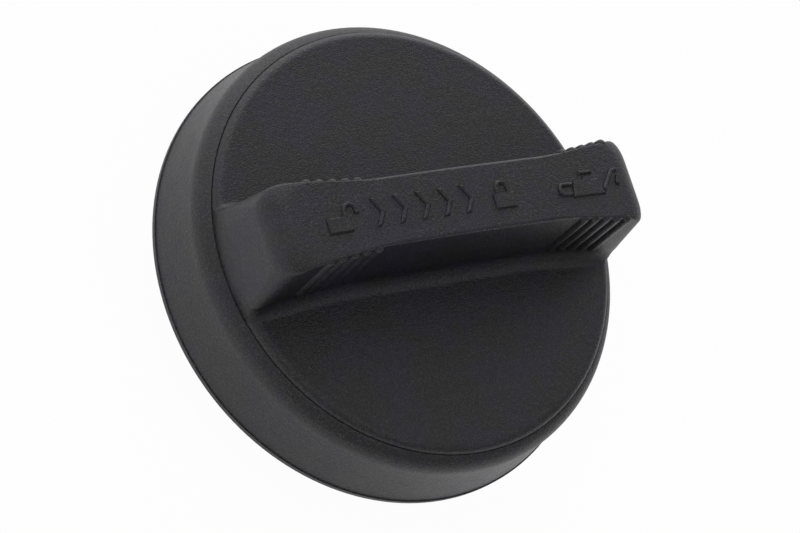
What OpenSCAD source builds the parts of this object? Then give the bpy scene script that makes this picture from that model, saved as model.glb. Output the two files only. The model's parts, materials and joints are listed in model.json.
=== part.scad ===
// Engine oil filler cap: a round lid with a bar handle, set into a skirted body
// whose bayonet spigot carries a rubber sealing ring. Units are millimetres, +Z is up
// along the cap's axis, and the origin is the centre of the spigot's lower face.

/* [Lid disc] */
// Diameter of the lid disc, which is also the seam circle
disc_d = 62; // [50:0.5:80]
// Height of the disc's top face above the seam
disc_rise = 0.9; // [0.6:0.1:1.8]
// Radius of the disc's rounded edge
disc_edge_r = 1.6; // [0.3:0.05:2]
// Thickness of the disc
disc_t = 2.4; // [2:0.1:4]

/* [Handle] */
// Height of the handle's top above the seam, at mid-length
handle_h = 14.7; // [9:0.1:20]
// Length of the handle at its foot
handle_len = 61.6; // [40:0.2:64]
// Width of the handle's straight waist at its foot
waist_w = 11.2; // [8:0.1:14]
// Length of the straight waist
waist_len = 28; // [12:0.5:36]
// Width of the handle's ends at the foot
end_w = 14.9; // [11:0.1:18]
// How much lower the top lies at the ends than at mid-length
crown = 1.3; // [0.2:0.1:3]
// Draft angle of the long walls
side_draft = 3.9; // [0.5:0.1:6]
// Draft angle of the end walls
end_draft = 4.8; // [2:0.1:15]
// Radius of the upright corners
corner_r = 3.2; // [1.5:0.1:4]
// Radius of the long top edges
top_edge_r = 0.5; // [0.2:0.05:1]
// Radius of the top edges at the two ends
end_edge_r = 3.9; // [0.5:0.1:5]
// Radius of the concave foot along the long walls
foot_r = 2.1; // [0.5:0.1:3]
// Wall thickness round the hollow inside the handle
handle_wall = 2.0; // [1.5:0.1:3]

/* [Finger ribs] */
// Ribs in each of the four groups
rib_count = 5; // [2:1:7]
// Distance from one rib to the next
rib_pitch = 1.85; // [1.5:0.05:2.5]
// Radius of a rib
rib_r = 0.72; // [0.4:0.02:0.9]
// Distance of each group's middle from the handle's end
rib_group_x = 10.2; // [8:0.1:12]
// How far all the ribs sit towards the handle's right end
rib_shift = 0.9; // [-1.5:0.1:1.5]
// Height of the ribs' lower ends above the seam
rib_low = 4.2; // [3:0.1:8]
// Distance of the ribs' upper ends below the top face
rib_top_gap = 0.75; // [0.4:0.05:2]

/* [Skirt] */
// Depth of the skirt below the seam
skirt_depth = 12.15; // [9:0.05:18]
// Diameter over the rounded shoulder
shoulder_d = 65.6; // [64:0.1:66.5]
// Depth below the seam at which the shoulder reaches its full diameter
shoulder_drop = 4.15; // [2:0.05:5]
// Diameter of the rim
rim_d = 68.4; // [67:0.1:76]
// Height of the raised band round the rim
rim_band_h = 0.85; // [0.4:0.05:2]
// How far the rim band stands out from the skirt
rim_band_t = 0.4; // [0.2:0.05:0.8]
// Wall thickness of the skirt
skirt_t = 1.9; // [1.5:0.1:3]
// Gap round the lid disc at the seam
seam_gap = 0.1; // [0.05:0.05:0.3]
// Drop of the shoulder's inner edge below the seam
seam_drop = 0.15; // [0.1:0.05:0.5]

/* [Web and weld ring] */
// Thickness of the body's web under the lid
web_t = 2.4; // [2:0.1:4]
// Mean diameter of the ring that locates the lid in the web
tongue_d = 58; // [50:0.5:58.5]
// Width of the locating ring
tongue_w = 1.2; // [0.8:0.1:1.6]
// Depth of the locating ring below the disc
tongue_h = 1.2; // [0.6:0.1:1.5]
// Clearance round the locating ring
tongue_gap = 0.1; // [0.05:0.05:0.2]
// Number of stiffening ribs under the web
web_ribs = 12; // [6:1:18]
// Thickness of a stiffening rib
web_rib_t = 1.4; // [0.8:0.1:2]

/* [Spigot and bayonet] */
// Diameter of the spigot's barrel, which the filler neck's bore fits round
spigot_d = 36; // [34:0.5:40]
// Diameter of the slimmer nose that carries the lugs
nose_d = 34.8; // [32:0.1:35.4]
// Height of the nose above the spigot's end
nose_h = 5.4; // [5:0.1:7]
// Wall thickness of the spigot
spigot_t = 2.2; // [1.6:0.1:3]
// How far the spigot reaches below the rim
spigot_drop = 6.0; // [3:0.5:10]
// Bayonet lugs round the spigot
lug_count = 3; // [2:1:4]
// Angle that one lug spans
lug_arc = 40; // [20:1:50]
// How far a lug stands out from the spigot
lug_out = 2.2; // [1.5:0.1:3]
// Height of a lug
lug_h = 3.0; // [2:0.1:4]
// Height of the lug's lower face above the spigot's end
lug_rise = 1.6; // [1:0.1:3]
// Slope of the lug's upper face, which draws the cap down as it turns
lug_ramp = 6; // [2:1:8]

/* [Seal] */
// Outer diameter of the sealing ring
seal_d = 45.6; // [42:0.1:48]
// Thickness of the sealing ring
seal_t = 2.6; // [1.8:0.1:3.5]
// Depth of the groove that holds the ring on the spigot
seal_groove = 0.5; // [0.3:0.05:0.8]
// Height of the two sealing beads
seal_bead = 0.5; // [0.3:0.05:0.8]
// Clearance round the sealing ring
seal_gap = 0.1; // [0.05:0.05:0.2]
// Width of the rim that locates the ring's outside
seal_rim_w = 1.2; // [0.8:0.1:1.6]

/* [Hidden] */
$fn = 96;
ARC_STEPS = 8;
// How deep one solid form reaches into the next, and how far a cut passes through
EMBED = 0.5;
THROUGH = 1;

disc_r = disc_d / 2;
rim_r = rim_d / 2;
shoulder_r = shoulder_d / 2;
rim_z = spigot_drop;
seam_z = rim_z + skirt_depth;
disc_top = seam_z + disc_rise;
disc_under = disc_top - disc_t;
web_under = disc_under - web_t;
spigot_r = spigot_d / 2;
nose_r = nose_d / 2;
bore_r = min(nose_r, spigot_r) - spigot_t;
handle_top = seam_z + handle_h;
wall_h = handle_top - disc_top;
recess_r = disc_r + seam_gap;
seal_low = web_under - seal_t;
seal_face = seal_low + seal_bead;
seal_in = spigot_r - seal_groove + seal_gap;
seal_rim_in = seal_d / 2 + seal_gap;

// Points of an arc round a centre, from one angle to another
function arc(cx, cy, r, a0, a1, steps = ARC_STEPS) =
    [for (i = [0:steps]) let (a = a0 + (a1 - a0) * i / steps) [cx + r * cos(a), cy + r * sin(a)]];

// Half the handle's width at the foot: a straight waist that flares to the ends
FLARE_POWER = 1.5;
function flare(x) =
    let (past_waist = max(0, abs(x) - waist_len / 2))
    pow(past_waist / (handle_len / 2 - waist_len / 2), FLARE_POWER);
function half_width(x) = waist_w / 2 + (end_w - waist_w) / 2 * flare(x);

// Height of the crowned top over a point along the handle
function top_z(x) = handle_top - crown * pow(2 * x / handle_len, 2);

// Radius of the top edge: small along the walls, larger only at the very ends
EDGE_POWER = 13;
function edge_r(x, reach) =
    top_edge_r + (end_edge_r - top_edge_r) * pow(min(1, abs(x) / reach), EDGE_POWER);

// How much of the foot's width is left over a point along the handle: less towards the ends
FOOT_FADE = 0.7;
FADE_POWER = 10;
function foot_left(x) = 1 - FOOT_FADE * pow(min(1, abs(x) / (handle_len / 2)), FADE_POWER);

// Front half of a level's outline, from the left end to the right end
SIDE_STEPS = 18;
CORNER_STEPS = 5;
function front_half(reach, out, r, foot) =
    let (
        flat = reach - r,
        yc = half_width(flat) + out + foot * foot_left(flat) - r
    )
    concat(
        [for (i = [0:CORNER_STEPS - 1]) let (a = 90 * i / CORNER_STEPS) [-flat - r * cos(a), -yc - r * sin(a)]],
        [
            for (i = [0:SIDE_STEPS])
                let (x = flat * (2 * i / SIDE_STEPS - 1))
                [x, -half_width(x) - out - foot * foot_left(x)]
        ],
        [for (i = [1:CORNER_STEPS]) let (a = 90 * i / CORNER_STEPS) [flat + r * sin(a), -yc - r * cos(a)]]
    );
HALF = 2 * CORNER_STEPS + SIDE_STEPS + 1;

// One level as a closed ring: height share up the wall, reach along and out across, drop below
// the top, and how far the foot stands out there
function level(share, reach, out, r, drop = 0, foot = 0) =
    let (
        front = front_half(reach, out, r, foot),
        back = [for (i = [HALF - 1:-1:0]) [front[i].x, -front[i].y]]
    )
    [
        for (p = concat(front, back))
            [p.x, p.y, disc_top + share * (top_z(p.x) - disc_top) - drop * edge_r(p.x, reach)]
    ];

// Closed skin over a stack of levels, bottom first
module loft(levels) {
    ring = 2 * HALF;
    last = len(levels) - 1;
    points = [for (l = levels) each l];
    walls = [
        for (k = [0:last - 1], i = [0:ring - 1])
            let (a = k * ring + i, b = k * ring + (i + 1) % ring)
            each [[a, b + ring, b], [a, a + ring, b + ring]]
    ];
    function strip(base, up) = [
        for (i = [0:HALF - 2])
            let (a = base + i, b = base + i + 1, c = base + ring - 2 - i, d = base + ring - 1 - i)
            each (up ? [[a, c, b], [a, d, c]] : [[a, b, c], [a, c, d]])
    ];
    polyhedron(points, concat(walls, strip(0, false), strip(last * ring, true)));
}

// Outer form of the handle: concave foot, drafted walls, rounded top edge
FOOT_STEPS = 5;
EDGE_STEPS = 6;
// Share of the foot's width that also shows at the ends
FOOT_END_SHARE = 0.5;
function wall_len(share) = handle_len / 2 - share * wall_h * tan(end_draft);
function wall_out(share) = -share * wall_h * tan(side_draft);
function foot_level(up, out) =
    let (end_out = out * FOOT_END_SHARE)
    level(up, wall_len(up) + end_out, wall_out(up), corner_r + end_out, foot = out);
module handle_form() {
    edge_share = 1 - (end_edge_r + crown) / wall_h;
    loft(concat(
        [foot_level(-disc_edge_r / wall_h, foot_r)],
        [
            for (i = [0:FOOT_STEPS])
                let (a = 90 * i / FOOT_STEPS)
                foot_level(foot_r * (1 - cos(a)) / wall_h, foot_r * (1 - sin(a)))
        ],
        [level(edge_share, wall_len(edge_share), wall_out(edge_share), corner_r)],
        [
            for (i = [0:EDGE_STEPS])
                let (a = 90 * i / EDGE_STEPS, in = 1 - cos(a))
                level(1, wall_len(1) - end_edge_r * in, wall_out(1) - top_edge_r * in, corner_r, 1 - sin(a))
        ]
    ));
}

// Hollow that the mould's core leaves inside the handle, with its own smaller corners
CORE_CORNER = 0.4;
module handle_core() {
    low = (disc_under - EMBED - disc_top) / wall_h;
    high = 1 - handle_wall / wall_h;
    core_r = corner_r * CORE_CORNER;
    loft([
        level(low, wall_len(0) - handle_wall, -handle_wall, core_r),
        level(high, wall_len(high) - handle_wall, wall_out(high) - handle_wall, core_r)
    ]);
}

// One finger rib, leaning with the wall and round at both ends
RIB_FACETS = 24;
module finger_rib(x) {
    low = seam_z + rib_low - disc_top;
    high = top_z(x) - rib_top_gap - disc_top;
    translate([x, -half_width(x), disc_top])
        rotate([-side_draft, 0, 0]) {
            translate([0, 0, low]) cylinder(r = rib_r, h = high - low, $fn = RIB_FACETS);
            for (z = [low, high]) translate([0, 0, z]) sphere(r = rib_r, $fn = RIB_FACETS);
        }
}

module finger_ribs() {
    middle = handle_len / 2 - rib_group_x;
    for (side = [0, 1], end = [-1, 1], i = [0:rib_count - 1])
        mirror([0, side, 0])
            finger_rib(rib_shift + end * middle + (i - (rib_count - 1) / 2) * rib_pitch);
}

// Plain tube on the cap's axis, standing on z
module tube(inner, outer, z, h) {
    translate([0, 0, z])
        difference() {
            cylinder(r = outer, h = h);
            translate([0, 0, -THROUGH]) cylinder(r = inner, h = h + 2 * THROUGH);
        }
}

// Disc with its rounded edge and the ring that locates it in the body
module disc_form() {
    tongue_r = tongue_d / 2;
    rotate_extrude() polygon(concat(
        [[0, disc_under], [disc_r, disc_under]],
        arc(disc_r - disc_edge_r, disc_top - disc_edge_r, disc_edge_r, 0, 90),
        [[0, disc_top]]
    ));
    tube(tongue_r - tongue_w / 2, tongue_r + tongue_w / 2, disc_under - tongue_h, tongue_h + EMBED);
}

module lid() color([0.06, 0.06, 0.065]) {
    difference() {
        union() {
            disc_form();
            intersection() {
                union() {
                    handle_form();
                    finger_ribs();
                }
                translate([0, 0, disc_under]) cylinder(r = disc_r, h = handle_h + disc_t);
            }
        }
        handle_core();
    }
}

// Outside of the skirt from the shoulder to the rim band: upright at first, then flaring
SKIRT_STEPS = 8;
SKIRT_POWER = 1.35;
function skirt_line() =
    let (
        z0 = seam_z - shoulder_drop,
        z1 = rim_z + rim_band_h,
        r1 = rim_r - rim_band_t
    )
    [
        for (i = [0:SKIRT_STEPS])
            let (t = i / SKIRT_STEPS)
            [shoulder_r + (r1 - shoulder_r) * pow(t, SKIRT_POWER), z0 + (z1 - z0) * t]
    ];

// Rounded shoulder: one arc from the seam that ends upright at the full diameter
function shoulder_line() =
    let (
        w = shoulder_r - recess_r,
        h = shoulder_drop - seam_drop,
        r = (w * w + h * h) / (2 * w),
        points = arc(shoulder_r - r, seam_z - shoulder_drop, r, 2 * atan(w / h), 0)
    )
    [for (i = [0:ARC_STEPS - 1]) points[i]];

module skirt_and_web() {
    inner_r = rim_r - rim_band_t - skirt_t;
    top_inner_r = shoulder_r - skirt_t;
    band_in = rim_band_t / 2;
    rotate_extrude() polygon(concat(
        [[0, disc_under], [recess_r, disc_under]],
        shoulder_line(),
        skirt_line(),
        [
            [rim_r - band_in, rim_z + rim_band_h],
            [rim_r, rim_z + rim_band_h - band_in],
            [rim_r, rim_z + band_in],
            [rim_r - band_in, rim_z],
            [inner_r, rim_z],
            [top_inner_r, web_under],
            [0, web_under]
        ]
    ));
}

// Spigot: a barrel over a slimmer bevelled nose, bored through, with the seal's groove
NOSE_BEVEL = 0.6;
module spigot_wall() {
    difference() {
        union() {
            translate([0, 0, nose_h]) cylinder(r = spigot_r, h = web_under + EMBED - nose_h);
            rotate_extrude() polygon([
                [0, 0],
                [nose_r - NOSE_BEVEL, 0],
                [nose_r, NOSE_BEVEL],
                [nose_r, nose_h + EMBED],
                [0, nose_h + EMBED]
            ]);
        }
        translate([0, 0, -THROUGH]) cylinder(r = bore_r, h = web_under + THROUGH);
        tube(spigot_r - seal_groove, spigot_r + THROUGH, seal_low - seal_gap, seal_t + seal_gap);
    }
}

// One bayonet lug with an upper face that rises along the turn
LUG_BEVEL = 0.6;
module lug() {
    root_r = nose_r - EMBED;
    out_r = max(nose_r, spigot_r) + lug_out;
    difference() {
        rotate_extrude(angle = lug_arc) polygon([
            [root_r, lug_rise],
            [out_r - LUG_BEVEL, lug_rise],
            [out_r, lug_rise + LUG_BEVEL],
            [out_r, lug_rise + lug_h],
            [root_r, lug_rise + lug_h]
        ]);
        translate([nose_r, 0, lug_rise + lug_h])
            rotate([-lug_ramp, 0, 0])
                translate([-spigot_t, -2 * spigot_r, 0])
                    cube([4 * lug_out, 4 * spigot_r, 2 * lug_h]);
    }
}

module web_rib() {
    from_r = seal_rim_in + seal_rim_w / 2;
    to_r = shoulder_r - skirt_t / 2;
    translate([from_r, -web_rib_t / 2, seal_face])
        cube([to_r - from_r, web_rib_t, web_under + EMBED - seal_face]);
}

module body() color([0.09, 0.09, 0.095]) {
    groove_in = tongue_d / 2 - tongue_w / 2 - tongue_gap;
    groove_out = tongue_d / 2 + tongue_w / 2 + tongue_gap;
    difference() {
        skirt_and_web();
        tube(groove_in, groove_out, disc_under - tongue_h - tongue_gap, tongue_h + THROUGH);
    }
    spigot_wall();
    tube(seal_rim_in, seal_rim_in + seal_rim_w, seal_face, web_under + EMBED - seal_face);
    for (i = [0:lug_count - 1]) rotate([0, 0, (i + 0.5) * 360 / lug_count - lug_arc / 2]) lug();
    for (i = [0:web_ribs - 1]) rotate([0, 0, i * 360 / web_ribs]) web_rib();
}

// Section of one sealing bead: sloped flanks and a narrow flat tip
BEAD_FLAT = 0.3;
function bead(r) =
    let (foot = BEAD_FLAT + seal_bead)
    [[r - foot, seal_face], [r - BEAD_FLAT, seal_low], [r + BEAD_FLAT, seal_low], [r + foot, seal_face]];

// Flat rubber ring with two beads on its sealing face
BEAD_SHARES = [0.3, 0.72];
module seal_ring() color([0.03, 0.03, 0.03]) {
    out_r = seal_d / 2;
    rotate_extrude() polygon(concat(
        [[seal_in, web_under], [seal_in, seal_face]],
        [for (share = BEAD_SHARES) each bead(spigot_r + (out_r - spigot_r) * share)],
        [[out_r, seal_face], [out_r, web_under]]
    ));
}

lid();
body();
seal_ring();
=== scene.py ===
# %% [markdown]
# # An engine oil filler cap
# The cap is three mouldings: a lid with a bar handle, the skirted body under it, and a
# rubber sealing ring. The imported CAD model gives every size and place. Each moulding is
# modelled again here with finer curves, and then finished with its own material.

import json
import math

import bmesh
import bpy
from mathutils import Matrix, Vector

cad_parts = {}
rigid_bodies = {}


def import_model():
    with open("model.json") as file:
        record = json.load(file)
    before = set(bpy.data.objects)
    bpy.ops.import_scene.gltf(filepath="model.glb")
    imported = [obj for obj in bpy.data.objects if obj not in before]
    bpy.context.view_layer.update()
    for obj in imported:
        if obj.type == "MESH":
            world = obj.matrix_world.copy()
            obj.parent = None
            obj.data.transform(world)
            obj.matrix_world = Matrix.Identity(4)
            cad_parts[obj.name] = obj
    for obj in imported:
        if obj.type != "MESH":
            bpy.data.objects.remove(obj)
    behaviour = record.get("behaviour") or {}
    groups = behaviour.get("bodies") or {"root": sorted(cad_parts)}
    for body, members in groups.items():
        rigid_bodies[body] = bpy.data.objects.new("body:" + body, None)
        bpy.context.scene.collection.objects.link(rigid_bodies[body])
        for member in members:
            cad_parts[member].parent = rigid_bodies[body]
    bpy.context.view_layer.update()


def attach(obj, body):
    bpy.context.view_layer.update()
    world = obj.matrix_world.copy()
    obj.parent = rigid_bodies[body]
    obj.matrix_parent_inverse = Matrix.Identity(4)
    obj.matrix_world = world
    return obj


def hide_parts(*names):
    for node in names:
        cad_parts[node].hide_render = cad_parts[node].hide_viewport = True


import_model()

# %% [markdown]
# ## Sizes
# The sizes are the same ones that the CAD model was made from. They are written in
# millimetres, as on a drawing, and turned into metres where a shape is made, because
# one Blender unit is a metre.

# %% Sizes in millimetres, with heights above the spigot's end, on which the cap stands
RIM_Z, SEAM_Z = 6.0, 18.15
DISC_R, DISC_TOP, DISC_UNDER, DISC_EDGE, DISC_DIP = 30.9, 19.05, 16.65, 1.3, 1.1
DISC_RINGS = (DISC_R - DISC_EDGE - 0.3, 24, 16, 8, 0)
WEB_UNDER = 14.25
RECESS_R, SHOULDER_R, SHOULDER_DROP, SEAM_DROP = 30.96, 32.85, 3.1, 0.15
RIM_R, RIM_BAND_H, RIM_BAND_T, SKIRT_T = 34.2, 0.85, 0.18, 2.1
HANDLE_TOP, HANDLE_HALF, CROWN = 32.85, 30.8, 1.3
WAIST_HALF, WAIST_HALF_WIDTH, END_HALF_WIDTH = 14.0, 5.6, 7.45
FOOT_R, CORNER_R, TOP_EDGE_R, END_EDGE_R = 2.1, 3.2, 0.5, 3.9
SIDE_DRAFT, END_DRAFT = math.radians(3.9), math.radians(4.8)
SEAL_GROOVE = 0.5
SPIGOT_R, NOSE_R, BORE_R, NOSE_H = 18.0, 17.4, 15.2, 5.4
SEAL_OUT, SEAL_IN, SEAL_LOW, SEAL_FACE = 22.8, 17.6, 11.65, 12.15
SEAL_RIM_IN, SEAL_RIM_OUT = 22.9, 24.1

MM = 0.001
DOUBLED, SLIVER = 0.004, 0.0005
ROUND_STEPS = 160
print("handle half width", WAIST_HALF_WIDTH, "to", END_HALF_WIDTH, "mm")

# %% [markdown]
# ## Working as by hand
# Every shape below goes the same way: a primitive is added, shaped in edit mode with
# the usual tools, and finished with modifiers. A few short helpers select what a tool
# is to act on, by its place, because a script has no mouse to click with.


# %% Helpers that start, select in, and finish a shape
def start_clean():
    if bpy.context.object and bpy.context.object.mode == "EDIT":
        bpy.ops.object.mode_set(mode="OBJECT")
    bpy.ops.object.select_all(action="DESELECT")


def pick(wanted, kind="VERT"):
    """Selects, in edit mode, only the vertices, edges or faces for which wanted(place, item) is true."""
    mesh = bmesh.from_edit_mesh(bpy.context.object.data)
    bpy.ops.mesh.select_mode(type=kind)
    bpy.ops.mesh.select_all(action="DESELECT")
    items = {"VERT": mesh.verts, "EDGE": mesh.edges, "FACE": mesh.faces}[kind]
    for item in items:
        if kind == "VERT":
            place = item.co
        elif kind == "EDGE":
            place = (item.verts[0].co + item.verts[1].co) / 2
        else:
            place = item.calc_center_median()
        if wanted(place / MM, item):
            item.select_set(True)
    mesh.select_flush_mode()
    bmesh.update_edit_mesh(bpy.context.object.data)


def move(x=0.0, y=0.0, z=0.0):
    bpy.ops.transform.translate(value=(x * MM, y * MM, z * MM))


def draw_out(x=0.0, y=0.0, z=0.0):
    """Extrudes what is selected by so many millimetres."""
    bpy.ops.mesh.extrude_region_move(TRANSFORM_OT_translate={"value": (x * MM, y * MM, z * MM)})


def stretch(x=1.0, y=1.0):
    """Scales what is selected along and across the cap, about its axis."""
    bpy.ops.transform.resize(value=(x, y, 1), center_override=(0, 0, 0))


def apply_modifier(piece, kind, **settings):
    bpy.context.view_layer.objects.active = piece
    modifier = piece.modifiers.new(kind.title(), kind)
    for name, value in settings.items():
        setattr(modifier, name, value)
    bpy.ops.object.modifier_apply(modifier=modifier.name)


def tidy_mesh(piece):
    """Merges doubled points, takes out slivers and turns every face outwards."""
    start_clean()
    bpy.context.view_layer.objects.active = piece
    piece.select_set(True)
    bpy.ops.object.mode_set(mode="EDIT")
    bpy.ops.mesh.select_mode(type="VERT")
    bpy.ops.mesh.select_all(action="SELECT")
    bpy.ops.mesh.remove_doubles(threshold=DOUBLED * MM)
    bpy.ops.mesh.dissolve_degenerate(threshold=SLIVER * MM)
    bpy.ops.mesh.normals_make_consistent(inside=False)
    bpy.ops.object.mode_set(mode="OBJECT")


def add_to(piece, other, how="UNION", crossing=False):
    """Melts other closed shapes into the piece, as parts of one moulding, or keeps what both share.

    Doubled points are merged each time, because the next boolean needs a closed shape.
    """
    start_clean()
    apply_modifier(piece, "BOOLEAN", operation=how, solver="EXACT", object=other, use_self=crossing)
    bpy.data.objects.remove(other)
    tidy_mesh(piece)


def copy_of(piece, name):
    """A copy with its own mesh."""
    made = piece.copy()
    made.data = piece.data.copy()
    made.name = made.data.name = name
    bpy.context.scene.collection.objects.link(made)
    return made


def join_all(parts):
    start_clean()
    for part in parts:
        part.select_set(True)
    bpy.context.view_layer.objects.active = parts[0]
    bpy.ops.object.join()
    bpy.ops.object.transform_apply(location=True, rotation=True, scale=True)
    return parts[0]


# %% [markdown]
# ## Turned shapes
# The disc, the skirt and the sealing ring are round, so each is drawn once as a half
# section and turned round the cap's axis with Spin. Sharp corners of the section get
# a small vertex bevel first, because a moulding has no knife edges and the small
# rounds catch the light.


# %% Draw a section point by point, round its corners, and turn it
def draw_section(name, points, rounds, closed=False):
    """points are (radius, height) in mm; rounds gives some points a corner radius by their number."""
    start_clean()
    bpy.ops.mesh.primitive_plane_add(size=MM, location=(0, 0, 0))
    section = bpy.context.object
    section.name = section.data.name = name
    bpy.ops.object.mode_set(mode="EDIT")
    bpy.ops.mesh.select_mode(type="VERT")
    bpy.ops.mesh.select_all(action="SELECT")
    bpy.ops.mesh.merge(type="CENTER")
    move(points[0][0], 0, points[0][1])
    for a, b in zip(points, points[1:]):
        draw_out(x=b[0] - a[0], z=b[1] - a[1])
    if closed:
        ends = [Vector((r, 0, z)) for r, z in (points[0], points[-1])]
        pick(lambda place, item: min((place - end).length for end in ends) < 0.001)
        bpy.ops.mesh.edge_face_add()
    for number, radius in rounds.items():
        corner = Vector((points[number][0], 0, points[number][1]))
        pick(lambda place, item, corner=corner: (place - corner).length < 0.001)
        bpy.ops.mesh.bevel(affect="VERTICES", offset=radius * MM, segments=4, profile=0.5)
    bpy.ops.object.mode_set(mode="OBJECT")
    return section


def turn(section, steps=ROUND_STEPS):
    """Spins the section all the way round the cap's axis and closes the last seam."""
    bpy.context.view_layer.objects.active = section
    bpy.ops.object.mode_set(mode="EDIT")
    bpy.ops.mesh.select_all(action="SELECT")
    bpy.ops.mesh.spin(steps=steps, angle=2 * math.pi, center=(0, 0, 0), axis=(0, 0, 1))
    bpy.ops.object.mode_set(mode="OBJECT")
    tidy_mesh(section)
    return section


def arc(cx, cz, r, a0, a1, steps, rise=None):
    """Points of an arc in a section, in mm, with angles in degrees; rise makes it an ellipse's."""
    turns = [math.radians(a0 + (a1 - a0) * i / steps) for i in range(steps + 1)]
    return [(cx + r * math.cos(a), cz + (rise or r) * math.sin(a)) for a in turns]


# %% [markdown]
# ## The lid's disc
# A flat disc whose edge is rounded over, so that it dips into the seam round it. A few
# rings across its top keep the shading of the flat part from running into the edge.

# %% The disc, turned from its half section
disc = turn(
    draw_section(
        "lid_moulding",
        [(0, DISC_UNDER), (DISC_R, DISC_UNDER)]
        + [(r, DISC_TOP - DISC_DIP + z) for r, z in arc(DISC_R - DISC_EDGE, 0, DISC_EDGE, 0, 90, 10, DISC_DIP)]
        + [(r, DISC_TOP) for r in DISC_RINGS],
        {1: 0.3},
    )
)
print("disc:", len(disc.data.polygons), "faces")

# %% [markdown]
# ## The bar handle
# The bar is wide at its ends and slim at its waist, its walls lean inwards so that it
# leaves the mould, and a concave foot runs out into the disc. A box is cut into
# columns along its length and each column is widened for the flare. Then the bottom is
# drawn down and outwards in steps to make the foot, and the top is drawn up and
# inwards in steps to round its edges, which are small along the walls and large at
# the ends.


# %% The bar's width, crown, foot and top edge at a place along it; higher powers act nearer the ends
FLARE_POWER, FOOT_POWER, EDGE_POWER, CORNER_CRISP = 1.5, 10, 13, 4
FOOT_STEPS, FOOT_SUNK, RIM_SUNK, FOOT_FADE, FOOT_END_SHARE = 7, 0.03, 0.21, 0.7, 0.3


def half_width(x):
    past = max(0.0, abs(x) - WAIST_HALF) / (HANDLE_HALF - WAIST_HALF)
    return WAIST_HALF_WIDTH + (END_HALF_WIDTH - WAIST_HALF_WIDTH) * past**FLARE_POWER


def crown_drop(x):
    return CROWN * (x / HANDLE_HALF) ** 2


def foot_left(x):
    """The share of the foot's width that is left: less towards the ends."""
    return 1 - FOOT_FADE * min(1.0, abs(x) / HANDLE_HALF) ** FOOT_POWER


def rim_drop(place):
    """How far the disc's rounded edge has dropped away under a point."""
    past = min(DISC_EDGE, max(0.0, place.xy.length - (DISC_R - DISC_EDGE)))
    return DISC_DIP * (1 - math.sqrt(1 - (past / DISC_EDGE) ** 2))


def foot_sunk(place, step):
    """How deep the foot's last ring lies under the disc's face, so that the two cross cleanly."""
    return FOOT_SUNK + RIM_SUNK * rim_drop(place) if step == FOOT_STEPS else 0.0


def edge_r(share, end_r=END_EDGE_R):
    """The radius of the top edge at a share of the way to the bar's end."""
    return TOP_EDGE_R + (end_r - TOP_EDGE_R) * min(1.0, share) ** EDGE_POWER


def corner_side(x, reach):
    """How much further out than a round corner a crisper one lies at x, in mm."""
    share = min(1.0, max(0.0, (abs(x) - reach) / CORNER_R + 1))
    return CORNER_R * ((1 - share**CORNER_CRISP) ** (1 / CORNER_CRISP) - math.sqrt(1 - share**2))


EDGE_STEPS, CORNER_EDGE_R, COLUMNS = 8, 2.0, 44
WALL_LOW = DISC_TOP + FOOT_R
WALL_MID = (WALL_LOW + HANDLE_TOP) / 2
COLUMN_X = [(HANDLE_HALF - CORNER_R) * (2 * i / COLUMNS - 1) for i in range(COLUMNS + 1)]
print("bar half width:", half_width(0), "to", half_width(HANDLE_HALF), "mm")


# %% Tools that act on the selected points slice by slice across the bar
def by_slices(act):
    """Calls act(place) with each slice of the selected points selected in turn, and then all of them."""
    bpy.ops.mesh.select_mode(type="VERT")
    mesh = bmesh.from_edit_mesh(bpy.context.object.data)
    slices = {}
    for vert in mesh.verts:
        if vert.select:
            slices.setdefault(round(vert.co.x / MM, 2), []).append(vert)
    for points in [*slices.values(), [vert for points in slices.values() for vert in points]]:
        bpy.ops.mesh.select_all(action="DESELECT")
        for point in points:
            point.select_set(True)
        mesh.select_flush_mode()
        bmesh.update_edit_mesh(bpy.context.object.data)
        if len(points) < 5:
            act(points[0].co / MM)


def widen(out):
    """Moves both long sides outwards by out(x) mm."""
    by_slices(lambda place: stretch(y=1 + out(place.x) / abs(place.y)))


def set_height(height):
    """Moves the selected points up or down to height(place) mm."""
    by_slices(lambda place: move(z=height(place) - place.z))


# %% A box, cut into columns that are widened towards the ends
start_clean()
bpy.ops.mesh.primitive_cube_add(size=1, location=(0, 0, WALL_MID * MM))
bar = bpy.context.object
bar.name = bar.data.name = "bar"
bar.scale = (2 * HANDLE_HALF * MM, 2 * WAIST_HALF_WIDTH * MM, (HANDLE_TOP - WALL_LOW) * MM)
bpy.ops.object.transform_apply(location=True, rotation=False, scale=True)
bpy.ops.object.mode_set(mode="EDIT")
for x in COLUMN_X:
    bpy.ops.mesh.select_all(action="SELECT")
    bpy.ops.mesh.bisect(plane_co=(x * MM, 0, 0), plane_no=(1, 0, 0))
for x in [-HANDLE_HALF, *COLUMN_X, HANDLE_HALF]:
    pick(lambda place, item: abs(place.x - x) < 0.01)
    stretch(y=half_width(x) / WAIST_HALF_WIDTH)

# %% Round the upright corners
pick(
    lambda place, item: abs(place.x) > HANDLE_HALF - 0.01 and abs(place.z - WALL_MID) < 0.01 and abs(place.y) > 1,
    "EDGE",
)
bpy.ops.mesh.bevel(offset=CORNER_R * 0.99 * MM, segments=8, profile=0.5)

# %% Lean the walls up to where the top edge begins, with crisper corners at the bottom
low_reach = HANDLE_HALF - FOOT_R * math.tan(END_DRAFT)
top_reach = HANDLE_HALF - (HANDLE_TOP - CROWN - END_EDGE_R - DISC_TOP) * math.tan(END_DRAFT)
pick(lambda place, item: place.z < WALL_MID)
widen(lambda x: corner_side(x, HANDLE_HALF) - FOOT_R * math.tan(SIDE_DRAFT))
stretch(x=low_reach / HANDLE_HALF)
pick(lambda place, item: place.z > WALL_MID)
widen(lambda x: -(HANDLE_TOP - TOP_EDGE_R - DISC_TOP) * math.tan(SIDE_DRAFT))
stretch(x=top_reach / HANDLE_HALF)


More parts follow.
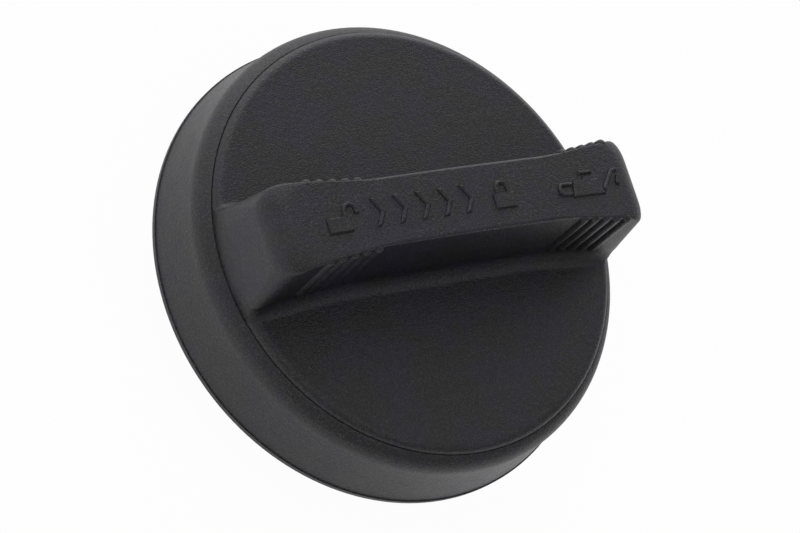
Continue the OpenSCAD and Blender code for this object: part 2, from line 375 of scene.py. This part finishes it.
def edge_height(place):
    below = edge_r(abs(place.x) / reach) * (1 - math.sin(angle))
    return HANDLE_TOP - crown_drop(place.x) - below


reach, angle = top_reach, END_DRAFT
set_height(edge_height)

# %% Draw the top up and inwards in steps, so that its edges are rounded
for i in range(1, EDGE_STEPS + 1):
    next_angle = END_DRAFT + (math.pi / 2 - END_DRAFT) * i / EDGE_STEPS
    inwards = math.cos(angle) - math.cos(next_angle)
    next_reach = reach - END_EDGE_R * inwards
    draw_out()
    stretch(x=next_reach / reach)
    reach, angle = next_reach, next_angle
    widen(lambda x: -edge_r(abs(x) / reach, CORNER_EDGE_R) * inwards)
    set_height(edge_height)

# %% Draw the bottom down and outwards into the foot, whose last ring sinks under the disc's face
pick(lambda place, item: item.normal.z < -0.9, "FACE")
reach, out, height = low_reach, 0.0, WALL_LOW
for i in range(1, FOOT_STEPS + 1):
    angle = math.pi / 2 * (1 - i / FOOT_STEPS)
    up, next_out = FOOT_R * (1 - math.cos(angle)), FOOT_R * (1 - math.sin(angle))
    next_reach = HANDLE_HALF - up * math.tan(END_DRAFT) + next_out * FOOT_END_SHARE
    lean = (height - DISC_TOP - up) * math.tan(SIDE_DRAFT)
    draw_out()
    stretch(x=next_reach / reach)
    widen(lambda x: lean + (next_out - out) * foot_left(x))
    set_height(lambda place: DISC_TOP + up - rim_drop(place) * (1 - up / FOOT_R) - foot_sunk(place, i))
    reach, out, height = next_reach, next_out, DISC_TOP + up
BAR_UNDER = DISC_TOP - DISC_EDGE - 0.4
draw_out()
set_height(lambda place: BAR_UNDER)
bpy.ops.object.mode_set(mode="OBJECT")
tidy_mesh(bar)
print("bar:", len(bar.data.polygons), "faces")

# %% [markdown]
# ## The finger ribs
# Four groups of five slim upright ribs give the fingers a hold. A rib is half sunk in
# the leaning wall and round at both ends: a ball whose lower half is drawn down. One
# is modelled, and the others are copies that stand where the wall is.

# %% One rib, lying on the axis with its upper end at the origin
RIB_R, RIB_PITCH, RIB_MIDDLE, RIB_SHIFT = 0.72, 1.85, 20.6, 0.9
RIB_LOW, RIB_TOP_GAP, RIB_SUNK = 4.2, 0.75, 0.22
rib_length = HANDLE_TOP - RIB_TOP_GAP - SEAM_Z - RIB_LOW - crown_drop(RIB_MIDDLE)
start_clean()
bpy.ops.mesh.primitive_uv_sphere_add(segments=20, ring_count=12, radius=RIB_R * MM, location=(0, 0, 0))
first_rib = bpy.context.object
bpy.ops.object.mode_set(mode="EDIT")
pick(lambda place, item: place.z < -0.01, "FACE")
draw_out(z=-rib_length)
bpy.ops.object.mode_set(mode="OBJECT")

# %% Twenty copies, each leaning with the wall where it stands
ribs = []
for side in (-1, 1):
    for end in (-1, 1):
        for number in range(-2, 3):
            x = RIB_SHIFT + end * RIB_MIDDLE + number * RIB_PITCH
            top = HANDLE_TOP - RIB_TOP_GAP - crown_drop(x)
            y = side * (half_width(x) - (top - DISC_TOP) * math.tan(SIDE_DRAFT) - RIB_SUNK)
            rib = copy_of(first_rib, f"rib_{len(ribs)}")
            rib.rotation_euler = (side * SIDE_DRAFT, 0, 0)
            rib.location = (x * MM, y * MM, top * MM)
            ribs.append(rib)
bpy.data.objects.remove(first_rib)
all_ribs = join_all(ribs)
print("ribs:", len(ribs), "of length", round(rib_length, 2), "mm")

# %% [markdown]
# ## Raised marks on the bar's top
# Generic signs stand a little proud of the top, as the mould leaves them. An open and a
# closed padlock with chevrons between them say which way to turn, and an oil can says
# what goes in. Each sign is an outline that is filled, drawn up and softened.


# %% One raised sign from its outlines, set down on the crowned top at x
SIGN_UP, SIGN_SUNK, SIGN_SOFT = 0.3, 0.3, 0.2


def raised_sign(x, outlines):
    """The outlines are lists of (x, y) in mm, round the sign's middle."""
    parts = []
    for points in outlines:
        part = draw_section("sign", points, {})
        bpy.ops.object.mode_set(mode="EDIT")
        bpy.ops.mesh.select_all(action="SELECT")
        bpy.ops.mesh.edge_face_add()
        draw_out(y=-SIGN_SUNK - SIGN_UP)
        pick(
            lambda place, item: place.y < -SIGN_SUNK and abs(item.verts[0].co.y - item.verts[1].co.y) < 1e-6,
            "EDGE",
        )
        bpy.ops.mesh.bevel(offset=SIGN_SOFT * MM)
        bpy.ops.object.mode_set(mode="OBJECT")
        part.rotation_euler = (-math.pi / 2, math.atan(2 * CROWN * x / HANDLE_HALF**2), 0)
        part.location = (x * MM, 0, (HANDLE_TOP - crown_drop(x) - SIGN_SUNK) * MM)
        parts.append(part)
    return parts


# %% The padlock, open and closed, and the chevron
shackle = [(-1.2, -0.3), *arc(0, 0.75, 1.2, 180, 0, 10), (1.2, -0.3)]
shackle += [(0.6, -0.3), *arc(0, 0.75, 0.6, 0, 180, 8), (-0.6, -0.3)]
lock_body = [(-1.75, -2.1), (1.75, -2.1), (1.75, 0.1), (-1.75, 0.1)]
chevron = [(-0.95, 1.95), (-0.2, 1.95), (0.95, 0), (-0.2, -1.95), (-0.95, -1.95), (0.2, 0)]
swung = [(px + 2.0, py + (0.5 if py < 0 and px > 0 else 0)) for px, py in shackle]

# %% The oil can: body with filler and knob, spout, handle and drop
can_body = [(-2.9, -1.9), (2.9, -1.9), (2.3, 0.5), (1.0, 0.5), (1.0, 1.0), (-0.4, 1.0), (-0.4, 0.5), (-2.2, 0.5)]
can_knob = [(-0.9, 1.25), (1.5, 1.25), (1.5, 1.8), (-0.9, 1.8)]
can_spout = [(2.75, -0.9), (5.0, 1.7), (6.1, 1.7), (6.1, 1.15), (5.3, 1.15), (2.95, -1.65)]
can_handle = [(-2.5, 0.35), (-4.6, 0.35), (-5.1, -0.15), (-5.1, -1.1), (-4.6, -1.6), (-2.9, -1.6)]
can_handle += [(-2.75, -1.05), (-4.4, -1.05), (-4.55, -0.9), (-4.55, -0.35), (-4.4, -0.2), (-2.4, -0.2)]
can_drop = [(5.75, 0.65), *arc(5.75, -0.35, 0.45, 30, -210, 10)]

# %% Set all the signs down along the bar
OPEN_AT, CLOSED_AT, CAN_AT, CHEVRONS_FROM, CHEVRON_STEP = -20.8, 5.2, 19.6, -14.6, 3.5
signs = raised_sign(OPEN_AT, [lock_body, swung]) + raised_sign(CLOSED_AT, [lock_body, shackle])
for number in range(5):
    signs += raised_sign(CHEVRONS_FROM + CHEVRON_STEP * number, [chevron])
signs += raised_sign(CAN_AT, [can_body, can_knob, can_spout, can_handle, can_drop])
all_signs = join_all(signs)
tidy_mesh(all_signs)
print("raised signs:", len(signs), "outlines")

# %% The lid is one moulding: trim the bar to the disc's edge and melt the parts together
TRIM_R, TRIM_H = DISC_R - 0.02, 40
start_clean()
bpy.ops.mesh.primitive_cylinder_add(
    vertices=ROUND_STEPS, radius=TRIM_R * MM, depth=TRIM_H * MM, location=(0, 0, (DISC_UNDER + TRIM_H / 2) * MM)
)
trimmer = bpy.context.object
add_to(bar, all_ribs)
add_to(bar, all_signs, crossing=True)
add_to(bar, trimmer, "INTERSECT")
lid = disc
add_to(lid, bar)
print("lid:", len(lid.data.polygons), "faces")

# %% [markdown]
# ## The body
# Under the lid, one moulding holds everything else: the rounded shoulder and the
# flared skirt with its rim band, the web that closes them, the rim round the seal,
# and the spigot that goes into the filler neck. All of it is round, so all of it is
# one section.

# %% The body's half section, from the axis outwards and back inside
SKIRT_STEPS, SKIRT_FLARE = 14, 1.35
shoulder_w, shoulder_h = SHOULDER_R - RECESS_R, SHOULDER_DROP - SEAM_DROP
shoulder_arc_r = (shoulder_w**2 + shoulder_h**2) / (2 * shoulder_w)
shoulder_turn = 2 * math.degrees(math.atan(shoulder_w / shoulder_h))
skirt_low, skirt_low_r = RIM_Z + RIM_BAND_H, RIM_R - RIM_BAND_T
shoulder_z = SEAM_Z - SHOULDER_DROP
shoulder = arc(SHOULDER_R - shoulder_arc_r, shoulder_z, shoulder_arc_r, shoulder_turn, 0, 12)
skirt = [
    (
        SHOULDER_R + (skirt_low_r - SHOULDER_R) * (i / SKIRT_STEPS) ** SKIRT_FLARE,
        shoulder_z + (skirt_low - shoulder_z) * i / SKIRT_STEPS,
    )
    for i in range(1, SKIRT_STEPS + 1)
]
outside = [(0, DISC_UNDER), (RECESS_R, DISC_UNDER), *shoulder, *skirt]
inside = [
    (RIM_R, skirt_low),
    (RIM_R, RIM_Z),
    (RIM_R - RIM_BAND_T - SKIRT_T, RIM_Z),
    (SHOULDER_R - SKIRT_T, WEB_UNDER),
    (SEAL_RIM_OUT, WEB_UNDER),
    (SEAL_RIM_OUT, SEAL_FACE),
    (SEAL_RIM_IN, SEAL_FACE),
    (SEAL_RIM_IN, WEB_UNDER),
    (SPIGOT_R - SEAL_GROOVE, WEB_UNDER),
    (SPIGOT_R - SEAL_GROOVE, SEAL_LOW - 0.1),
    (SPIGOT_R, SEAL_LOW - 0.1),
    (SPIGOT_R, NOSE_H),
    (NOSE_R, NOSE_H),
    (NOSE_R, 0),
    (BORE_R, 0),
    (BORE_R, WEB_UNDER),
    (0, WEB_UNDER),
]
SEAM_LIP_SOFT = 0.05
INSIDE_SOFT = {0: 0.08, 1: 0.18, 2: 0.3, 3: 0.8, 4: 0.4, 5: 0.25, 6: 0.25, 13: 0.6, 14: 0.3, 15: 0.6}
soft = {2: SEAM_LIP_SOFT} | {len(outside) + number: radius for number, radius in INSIDE_SOFT.items()}
body = turn(draw_section("body_moulding", outside + inside, soft))
print("body:", len(body.data.polygons), "faces")

# %% [markdown]
# ## The bayonet lugs and the web's ribs
# Three lugs hook under the neck's flange. Each is a block turned through forty
# degrees, with an upper face that slopes, so that the cap is drawn down as it turns.
# Spin turns clockwise seen from above, so the lug's angle is negative. Twelve thin
# ribs stiffen the web. Both are made once and copied round the axis.

# %% One lug, turned from its section, with a sloping upper face
LUG_OUT, LUG_RISE, LUG_H, LUG_ARC, LUG_SLOPE, LUG_COUNT = 20.2, 1.6, 3.0, 40.0, 6.0, 3
LUG_ROOT, LUG_BEVEL = NOSE_R - 0.5, 0.6
first_lug = draw_section(
    "lug",
    [
        (LUG_ROOT, LUG_RISE),
        (LUG_OUT - LUG_BEVEL, LUG_RISE),
        (LUG_OUT, LUG_RISE + LUG_BEVEL),
        (LUG_OUT, LUG_RISE + LUG_H),
        (LUG_ROOT, LUG_RISE + LUG_H),
    ],
    {},
)
bpy.context.view_layer.objects.active = first_lug
bpy.ops.object.mode_set(mode="EDIT")
bpy.ops.mesh.select_all(action="SELECT")
bpy.ops.mesh.edge_face_add()
bpy.ops.mesh.spin(steps=14, angle=-math.radians(LUG_ARC), center=(0, 0, 0), axis=(0, 0, 1))
bpy.ops.object.mode_set(mode="OBJECT")
tidy_mesh(first_lug)

bpy.context.view_layer.objects.active = first_lug
bpy.ops.object.mode_set(mode="EDIT")
lug_top = LUG_RISE + LUG_H
slope = math.tan(math.radians(LUG_SLOPE))
pick(lambda place, item: place.z > lug_top - 0.01)
by_slices(lambda place: move(z=-place.y * slope))
bpy.ops.object.mode_set(mode="OBJECT")

# %% One stiffening rib, with its lower edges rounded
WEB_RIBS, WEB_RIB_T, WEB_RIB_FROM, WEB_RIB_TO = 12, 1.4, 23.5, 31.85
web_rib_top = WEB_UNDER + 0.5
start_clean()
bpy.ops.mesh.primitive_cube_add(
    size=1, location=((WEB_RIB_FROM + WEB_RIB_TO) / 2 * MM, 0, (SEAL_FACE + web_rib_top) / 2 * MM)
)
first_web_rib = bpy.context.object
first_web_rib.scale = ((WEB_RIB_TO - WEB_RIB_FROM) * MM, WEB_RIB_T * MM, (web_rib_top - SEAL_FACE) * MM)
bpy.ops.object.transform_apply(location=True, rotation=False, scale=True)
bpy.ops.object.mode_set(mode="EDIT")
pick(lambda place, item: place.z < SEAL_FACE + 0.01 and abs(place.y) > 0.1, "EDGE")
bpy.ops.mesh.bevel(offset=0.3 * MM, segments=3)
bpy.ops.object.mode_set(mode="OBJECT")

# %% Copies of both round the axis, melted into the body
round_the_axis = []
for first, count, start in (
    (first_lug, LUG_COUNT, 180 / LUG_COUNT - LUG_ARC / 2),
    (first_web_rib, WEB_RIBS, 0),
):
    for number in range(count):
        made = copy_of(first, f"{first.name}_{number}")
        made.rotation_euler = (0, 0, math.radians(start + number * 360 / count))
        round_the_axis.append(made)
    bpy.data.objects.remove(first)
add_to(body, join_all(round_the_axis))
print("body with lugs and ribs:", len(body.data.polygons), "faces")

# %% [markdown]
# ## The sealing ring
# A flat rubber ring sits in a groove round the spigot. Two soft beads on its lower
# face press on the neck, so they are rounded at the tip and at the root.

# %% The ring's closed section, turned
BEAD_H, BEAD_FLAT = SEAL_FACE - SEAL_LOW, 0.3
bead_points = []
for share in (0.3, 0.72):
    r = SPIGOT_R + (SEAL_OUT - SPIGOT_R) * share
    bead_points += [
        (r - BEAD_FLAT - BEAD_H, SEAL_FACE),
        (r - BEAD_FLAT, SEAL_LOW),
        (r + BEAD_FLAT, SEAL_LOW),
        (r + BEAD_FLAT + BEAD_H, SEAL_FACE),
    ]
seal_points = [(SEAL_IN, WEB_UNDER), (SEAL_IN, SEAL_FACE), *bead_points, (SEAL_OUT, SEAL_FACE), (SEAL_OUT, WEB_UNDER)]
soft = {1: 0.2, 2: 0.2, 3: 0.25, 4: 0.25, 5: 0.2, 6: 0.2, 7: 0.25, 8: 0.25, 9: 0.2, 10: 0.35}
seal = turn(draw_section("seal_moulding", seal_points, soft, closed=True))
print("seal:", len(seal.data.polygons), "faces")

# %% [markdown]
# ## Putting the pieces on the model
# Each moulding stands for its CAD node, which is hidden, and rides with its body. Smooth shading
# by angle keeps the creases crisp and lets the curves run. Weighted normals then let
# the large flat faces win at their borders, so that they shade flat.

# %% Ride, replace and shade
for piece, node, finish in (
    (lid, "lid", "lid_plastic"),
    (body, "body", "body_plastic"),
    (seal, "seal_ring", "seal_rubber"),
):
    start_clean()
    piece.select_set(True)
    bpy.context.view_layer.objects.active = piece
    bpy.ops.object.shade_smooth_by_angle(angle=math.radians(32))
    apply_modifier(piece, "WEIGHTED_NORMAL", keep_sharp=True, weight=50)
    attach(piece, "root")
    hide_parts(node)

# %% [markdown]
# ## Writing a finish as arithmetic
# A finish is a small tree of nodes. It reads better as sums, so a socket is wrapped
# in a class whose signs add the Math nodes, and one method makes every other node.


# %% A socket with arithmetic, and a maker of nodes
class Value:
    def __init__(self, maker, socket):
        self.maker, self.socket = maker, socket

    def __add__(self, other):
        return self.maker.maths("ADD", self, other)

    def __sub__(self, other):
        return self.maker.maths("SUBTRACT", self, other)

    def __rsub__(self, other):
        return self.maker.maths("SUBTRACT", other, self)

    def __mul__(self, other):
        return self.maker.maths("MULTIPLY", self, other)

    __radd__ = __add__
    __rmul__ = __mul__


class Nodes:
    def __init__(self, tree):
        self.tree = tree

    def node(self, kind, settings=None, sockets=None, out=0):
        """Adds a node: its settings first, then its sockets' values or links. Gives back one output."""
        made = self.tree.nodes.new(kind)
        for name, value in (settings or {}).items():
            setattr(made, name, value)
        for name, value in (sockets or {}).items():
            self.feed(made.inputs[name], value)
        return Value(self, made.outputs[out])

    def feed(self, socket, value):
        if isinstance(value, Value):
            self.tree.links.new(value.socket, socket)
        else:
            socket.default_value = value

    def maths(self, operation, a, b=0.0):
        return self.node("ShaderNodeMath", {"operation": operation}, {0: a, 1: b})

    def smooth_step(self, value, low, high):
        """0 below low, 1 above high, and smooth between."""
        return self.node(
            "ShaderNodeMapRange",
            {"interpolation_type": "SMOOTHSTEP"},
            {"Value": value, "From Min": low, "From Max": high},
        )

    def noise(self, places, scale, detail=2.0, roughness=0.5):
        return self.node(
            "ShaderNodeTexNoise",
            None,
            {"Vector": places, "Scale": scale, "Detail": detail, "Roughness": roughness},
        )

    def mix(self, share, a, b):
        """A colour between a and b."""
        return self.node(
            "ShaderNodeMix", {"data_type": "RGBA"}, {0: share, 6: a, 7: b}, out=2
        )


def new_finish(name):
    """A material, its node maker, its shader and the object's own coordinates."""
    material = bpy.data.materials.new(name)
    material.use_nodes = True
    nodes = Nodes(material.node_tree)
    shader = material.node_tree.nodes["Principled BSDF"]
    places = nodes.node("ShaderNodeTexCoord", out=3)
    return material, nodes, shader, places


# %% [markdown]
# ## Black glass-filled plastic
# The cap is moulded in black polyamide filled with glass fibre. The mould gives it a
# fine grain, the fibres show as tiny paler specks, and the flow of the melt leaves
# faint cloudy patches. The grain is a bump, the clouds vary the roughness and tint.


# %% The plastic of the lid and of the body; scales are in waves per metre, so 5000 is 0.2 mm
CLOUDS, BLOTCHES, COARSE_GRAIN, FINE_GRAIN, FIBRES, SPECKS = 110, 420, 1700, 4200, 4600, 5200
PALER = 13


def black_plastic(name, tone, tint, roughness, grain):
    """tone is the bare colour, tint the colour of its cloudy patches, and PALER times tone its fibres'."""
    material, nodes, shader, places = new_finish(name)
    clouds = nodes.noise(places, CLOUDS, 3.0)
    blotches = nodes.noise(places, BLOTCHES, 2.0)
    fine = nodes.noise(places, FINE_GRAIN, 2.0, 0.6)
    coarse = nodes.noise(places, COARSE_GRAIN, 2.0)
    specks = nodes.smooth_step(nodes.noise(places, SPECKS, 0.0), 0.64, 0.74)
    grainy = nodes.smooth_step(nodes.noise(places, FIBRES, 1.0), 0.46, 0.72)
    cloudy = nodes.smooth_step(clouds * 0.6 + blotches * 0.4, 0.44, 0.56)
    pale = tuple(PALER * c for c in tone)
    base = nodes.mix(cloudy, (*tone, 1), (*tint, 1))
    base = nodes.mix(grainy * 0.5 + specks * 0.8, base, (*pale, 1))
    nodes.feed(shader.inputs["Base Color"], base)
    nodes.feed(shader.inputs["Roughness"], roughness + (fine - 0.5) * 0.3 + (blotches - 0.5) * 0.12)
    shader.inputs["IOR"].default_value = 1.5
    bump = nodes.node(
        "ShaderNodeBump",
        None,
        {"Height": fine * 0.6 + coarse * 0.4, "Strength": grain, "Distance": 0.00016},
    )
    nodes.feed(shader.inputs["Normal"], bump)
    return material


lid.data.materials.clear()
lid.data.materials.append(black_plastic("lid_black", (0.0030, 0.0030, 0.0030), (0.0045, 0.0032, 0.0160), 0.42, 1.0))
body.data.materials.clear()
body.data.materials.append(black_plastic("body_black", (0.0033, 0.0033, 0.0033), (0.0046, 0.0035, 0.0140), 0.45, 1.0))

# %% [markdown]
# ## Rubber
# The ring is darker and duller than the plastic, with a faint bloom on its surface.


# %% The rubber of the ring, with its bare colour and its bloom's
RUBBER_TONE, BLOOM_TONE = (0.012, 0.012, 0.012, 1), (0.03, 0.03, 0.031, 1)


def black_rubber(name):
    material, nodes, shader, places = new_finish(name)
    bloom = nodes.smooth_step(nodes.noise(places, 260, 4.0), 0.45, 0.7)
    fine = nodes.noise(places, 3000, 2.0)
    nodes.feed(shader.inputs["Base Color"], nodes.mix(bloom * 0.5, RUBBER_TONE, BLOOM_TONE))
    nodes.feed(shader.inputs["Roughness"], 0.62 + bloom * 0.15)
    nodes.feed(
        shader.inputs["Normal"],
        nodes.node("ShaderNodeBump", None, {"Height": fine, "Strength": 0.25, "Distance": 0.00004}),
    )
    return material


seal.data.materials.clear()
seal.data.materials.append(black_rubber("seal_rubber_black"))

# %% [markdown]
# ## The camera
# The cap is seen from above and from the left, along the bar, so that the photograph's
# horizon leans. The camera's three directions are written out, because a tilted view
# is easier to read as directions than as turns.

# %% Camera at the photograph's viewing angle
camera_data = bpy.data.cameras.new("photo_view")
camera = bpy.data.objects.new("photo_view", camera_data)
bpy.context.scene.collection.objects.link(camera)
seam_centre = Vector((0, 0, SEAM_Z)) * MM
to_right = Vector((0.8229, -0.2979, 0.4839)).normalized()
looking = Vector((0.5532, 0.2260, -0.8018)).normalized()
upwards = to_right.cross(looking).normalized()
to_right = looking.cross(upwards).normalized()
placed = Matrix((to_right, upwards, -looking)).transposed().to_4x4()
placed.translation = seam_centre + Vector((-191.80, -80.26, 271.87)) * MM
camera.matrix_world = placed
camera_data.lens, camera_data.sensor_width, camera_data.clip_start = 112.5, 36, 0.01
bpy.context.scene.camera = camera
bpy.context.scene.view_settings.view_transform = "Standard"

# %% [markdown]
# ## The pale floor
# The cap stands on a plain pale floor. Camera and mirror rays see it as white, while
# it lights the cap only as a pale floor would, and it still keeps the cap's shadow.

# %% Floor
start_clean()
bpy.ops.mesh.primitive_plane_add(size=8, location=(0, 0, 0))
floor = bpy.context.object
floor.name = floor.data.name = "floor"
floor_finish, nodes, shader, places = new_finish("pale_floor")
shader.inputs["Base Color"].default_value = (0.8, 0.8, 0.8, 1)
shader.inputs["Roughness"].default_value = 0.9
seen = nodes.maths(
    "MAXIMUM", nodes.node("ShaderNodeLightPath", out=0), nodes.node("ShaderNodeLightPath", out=3)
)
white = nodes.node("ShaderNodeEmission", None, {"Color": (1, 1, 1, 1), "Strength": 1.0})
lit = Value(nodes, shader.outputs[0])
WHITE_SHARE = 0.97
mixed = nodes.node("ShaderNodeMixShader", None, {0: seen * WHITE_SHARE, 1: lit, 2: white})
nodes.feed(floor_finish.node_tree.nodes["Material Output"].inputs["Surface"], mixed)
floor.data.materials.append(floor_finish)

# %% [markdown]
# ## Soft studio light
# The room is dim, with two broad pale sides: a bright one behind the cap and a calmer
# one at its left, with a darker patch low in it. They are soft hills and a soft hollow
# of light in the world, which a black surface mirrors. Two round soft lamps hang high,
# one at the back left and one at the front.

# %% Room
world = bpy.data.worlds.new("studio")
bpy.context.scene.world = world
world.use_nodes = True
nodes = Nodes(world.node_tree)
ray = nodes.node("ShaderNodeVectorMath", {"operation": "NORMALIZE"}, {0: nodes.node("ShaderNodeTexCoord", out=0)})
room = 0.18
hills = [
    ((0.351, 0.936, 0.007), 4.0, 2.6),
    ((-0.985, 0.011, -0.174), 3.0, 1.45),
    ((-0.93, 0.22, 0.29), 28.0, -0.75),
]
for toward, sharpness, strength in hills:
    facing = nodes.node("ShaderNodeVectorMath", {"operation": "DOT_PRODUCT"}, {0: ray, 1: toward}, out=1)
    room = room + nodes.maths("EXPONENT", (facing - 1) * sharpness) * strength
seen = nodes.node("ShaderNodeLightPath", out=0)
nodes.feed(world.node_tree.nodes["Background"].inputs["Color"], nodes.mix(seen, room, (1, 1, 1, 1)))


# %% Lamps
def soft_lamp(name, toward, power, distance=0.6, size=0.4):
    """A round lamp that hangs in a direction from the cap and faces it."""
    data = bpy.data.lights.new(name, "AREA")
    data.shape, data.size, data.energy = "DISK", size, power
    lamp = bpy.data.objects.new(name, data)
    bpy.context.scene.collection.objects.link(lamp)
    lamp.location = seam_centre + Vector(toward).normalized() * distance
    lamp.rotation_euler = (seam_centre - lamp.location).to_track_quat("-Z", "Y").to_euler()


soft_lamp("back_left", (-0.287, 0.434, 0.854), 0.42)
soft_lamp("front", (0.201, -0.42, 0.885), 0.51)
